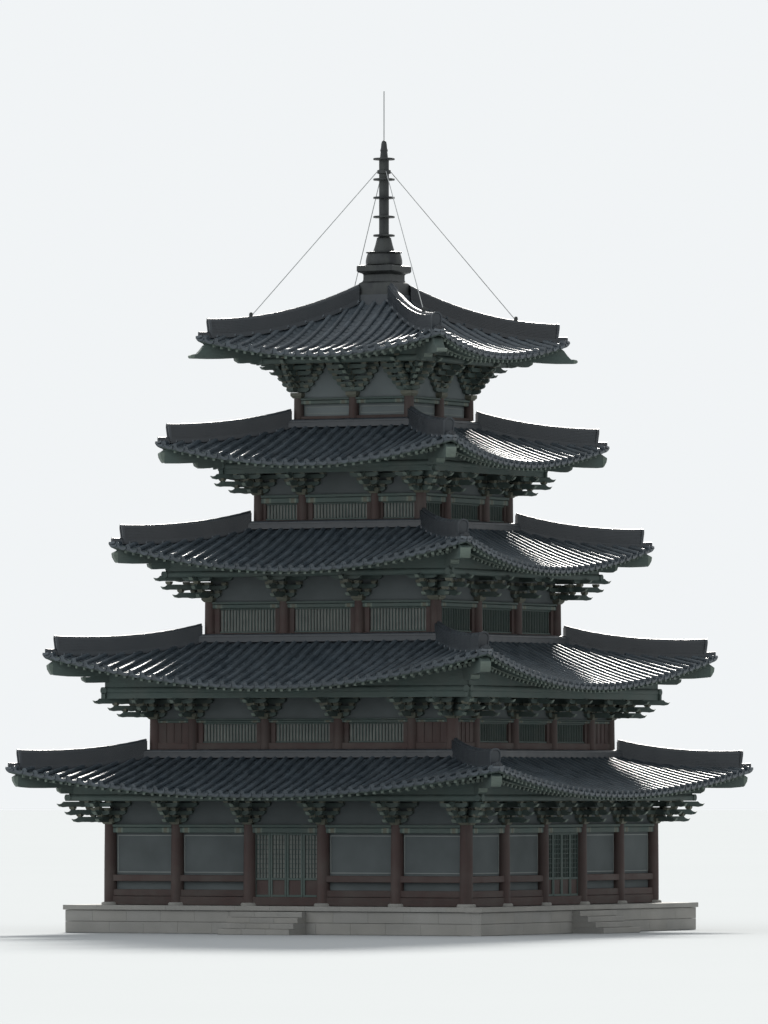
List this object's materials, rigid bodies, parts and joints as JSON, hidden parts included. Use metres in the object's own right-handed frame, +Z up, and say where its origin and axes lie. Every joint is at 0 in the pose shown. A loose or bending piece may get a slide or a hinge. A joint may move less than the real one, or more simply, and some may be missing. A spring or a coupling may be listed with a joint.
{
  "type": "five-storey timber pagoda",
  "caption": "Square timber pagoda with tiled roofs whose corners sweep up, stepped brackets, a stone base and a metal finial held by stay wires.",
  "frame": {"origin": "middle of the stone base's underside, on the ground", "axes": "+Z up through the mast, front face towards -Y, +X to the right when seen from the front"},
  "size_m": [18.08, 18.08, 27.5],
  "materials": {
    "granite": "dressed grey granite, matt, weathered along its edges",
    "red_timber": "dark red-brown paint on timber, faded and matt",
    "green_timber": "dark green paint on timber with pale line work, matt",
    "wall_panels": "pale grey-green plaster and paper behind lattice, matt",
    "floor_boards": "plain brown floor boards, matt",
    "roof_tiles": "dark blue-grey fired clay tiles, slightly glossy on their rounded backs",
    "finial_metal": "dark grey metal, dull",
    "rod_metal": "thin grey steel wire and rod, dull"
  },
  "bodies": {
    "root": {"stone_base": "granite", "front_steps": "granite", "right_steps": "granite", "back_steps": "granite", "left_steps": "granite", "storey_1_frame": "red_timber", "storey_1_panels": "wall_panels", "storey_1_brackets": "green_timber", "roof_1_deck": "green_timber", "roof_1_tiles": "roof_tiles", "roof_1_ridges": "roof_tiles", "floor_2": "floor_boards", "storey_2_frame": "red_timber", "storey_2_panels": "wall_panels", "storey_2_brackets": "green_timber", "roof_2_deck": "green_timber", "roof_2_tiles": "roof_tiles", "roof_2_ridges": "roof_tiles", "floor_3": "floor_boards", "storey_3_frame": "red_timber", "storey_3_panels": "wall_panels", "storey_3_brackets": "green_timber", "roof_3_deck": "green_timber", "roof_3_tiles": "roof_tiles", "roof_3_ridges": "roof_tiles", "floor_4": "floor_boards", "storey_4_frame": "red_timber", "storey_4_panels": "wall_panels", "storey_4_brackets": "green_timber", "roof_4_deck": "green_timber", "roof_4_tiles": "roof_tiles", "roof_4_ridges": "roof_tiles", "floor_5": "floor_boards", "storey_5_frame": "red_timber", "storey_5_panels": "wall_panels", "storey_5_brackets": "green_timber", "roof_5_deck": "green_timber", "roof_5_tiles": "roof_tiles", "roof_5_ridges": "roof_tiles", "finial_base": "finial_metal", "finial_bowl": "finial_metal", "mast": "finial_metal", "lightning_rod": "rod_metal", "stay_front_right": "rod_metal", "stay_back_right": "rod_metal", "stay_back_left": "rod_metal", "stay_front_left": "rod_metal"}
  },
  "joints": []
}
